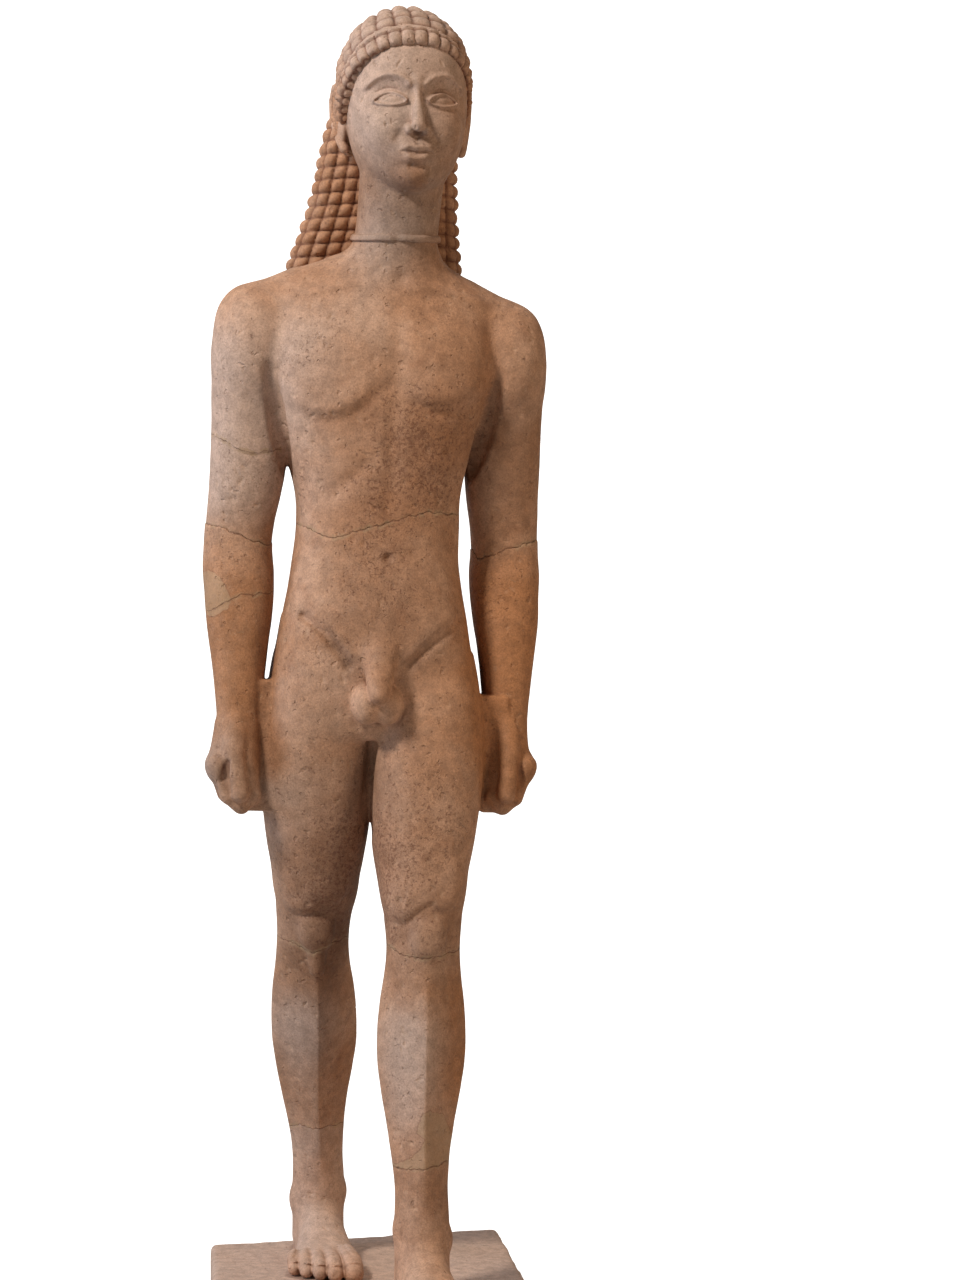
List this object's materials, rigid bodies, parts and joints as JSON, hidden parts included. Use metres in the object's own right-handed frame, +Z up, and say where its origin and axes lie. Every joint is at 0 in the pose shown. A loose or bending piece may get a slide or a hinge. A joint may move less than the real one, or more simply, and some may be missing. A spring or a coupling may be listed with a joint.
{
  "type": "kouros statue",
  "caption": "Archaic marble kouros: a life-size nude youth striding, fists at the thighs, long beaded hair, on a low integral plinth.",
  "frame": {"origin": "centre of the underside of the plinth's bounding box", "axes": "+Z up, -Y the way the youth faces, +X to the youth's left"},
  "size_m": [0.531, 0.77, 2.025],
  "materials": {
    "marble": "weathered warm marble, matt, with brown patina, pits and mended cracks"
  },
  "bodies": {
    "root": {"kouros": "marble"}
  },
  "joints": []
}
